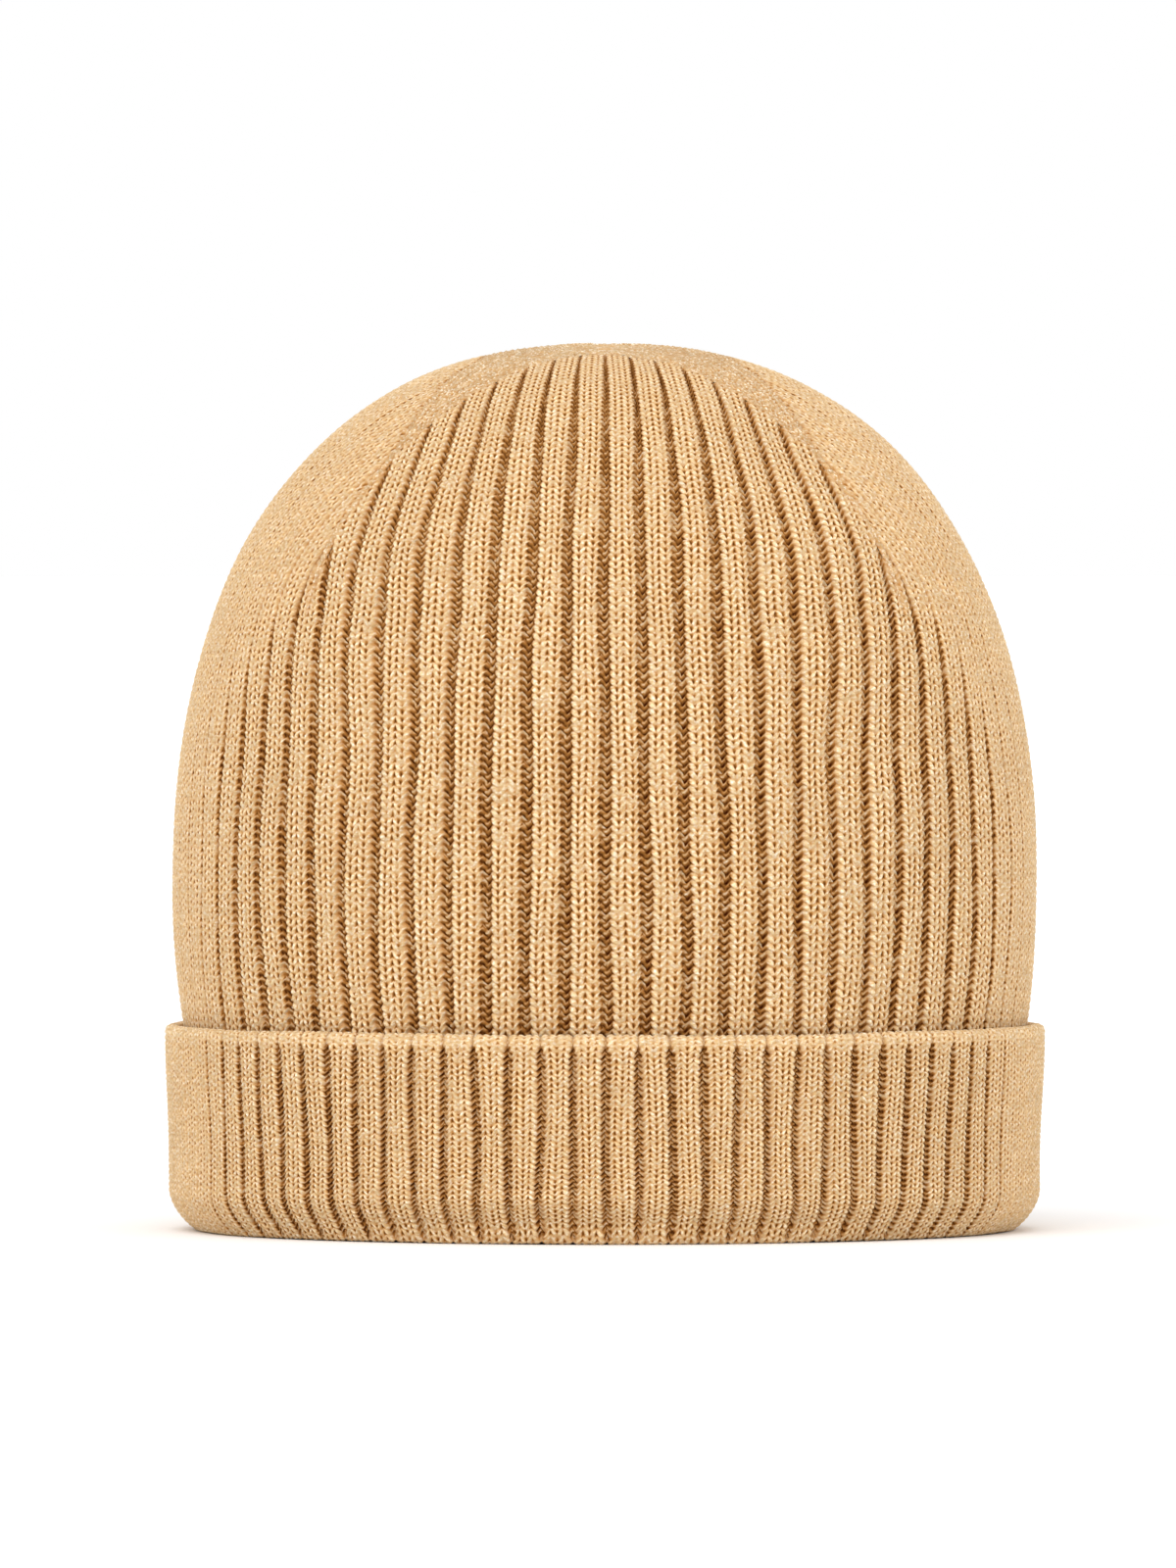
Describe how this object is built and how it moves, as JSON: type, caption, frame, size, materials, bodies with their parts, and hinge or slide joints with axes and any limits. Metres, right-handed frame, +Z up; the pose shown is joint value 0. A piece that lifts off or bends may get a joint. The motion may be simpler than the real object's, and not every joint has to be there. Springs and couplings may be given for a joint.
{
  "type": "knitted beanie",
  "caption": "Rib-knitted close-fitting beanie with a domed, fashioned crown, a turned-up ribbed cuff that lets down, linked seams and a blank care label inside.",
  "frame": {"origin": "centre of the flat ring at the bottom of the cuff's fold, where the hat stands", "axes": "+Z up along the hat's axis to the crown's closing, -Y towards the front, +X to the right when facing the front from outside"},
  "size_m": [0.1886, 0.1886, 0.19],
  "materials": {
    "body_rib": "camel melange rib knit, matt, slightly fuzzy",
    "crown_rib": "camel melange rib knit, matt, slightly fuzzy",
    "plain_knit": "camel melange plain knit stitches, matt",
    "cuff_rib": "camel melange rib knit, denser and a little darker",
    "welt_knit": "light smooth tubular knitted edge",
    "seam_yarn": "linked chain stitches in the same yarn",
    "woven_label": "blank ivory satin-woven tape"
  },
  "bodies": {
    "hat_body": {"body_panel": "body_rib", "crown_gore_front": "crown_rib", "crown_gore_left": "crown_rib", "crown_gore_right": "crown_rib", "crown_gore_back_left": "crown_rib", "crown_gore_back_right": "crown_rib", "fashioning_band_front_left": "plain_knit", "fashioning_band_front_right": "plain_knit", "fashioning_band_back_left": "plain_knit", "fashioning_band_back_right": "plain_knit", "crown_closing": "plain_knit", "closing_thread": "seam_yarn", "back_seam": "seam_yarn", "band_inner_layer": "cuff_rib", "band_inner_seam": "seam_yarn", "band_link_seam": "seam_yarn"},
    "cuff": {"cuff_outer_layer": "cuff_rib", "cuff_fold": "cuff_rib", "cuff_edge_welt": "welt_knit", "cuff_back_seam": "seam_yarn"},
    "label": {"care_label": "woven_label"}
  },
  "joints": [
    {"name": "cuff_let_down", "type": "slide", "parent": "hat_body", "child": "cuff", "axis": [0, 0, -1], "range_m": [0, 0.032]},
    {"name": "label_flap", "type": "hinge", "parent": "hat_body", "child": "label", "pos_m": [0.0024, 0.08737, 0.0645], "axis": [0, 0, -1], "range_deg": [0, 90]}
  ]
}
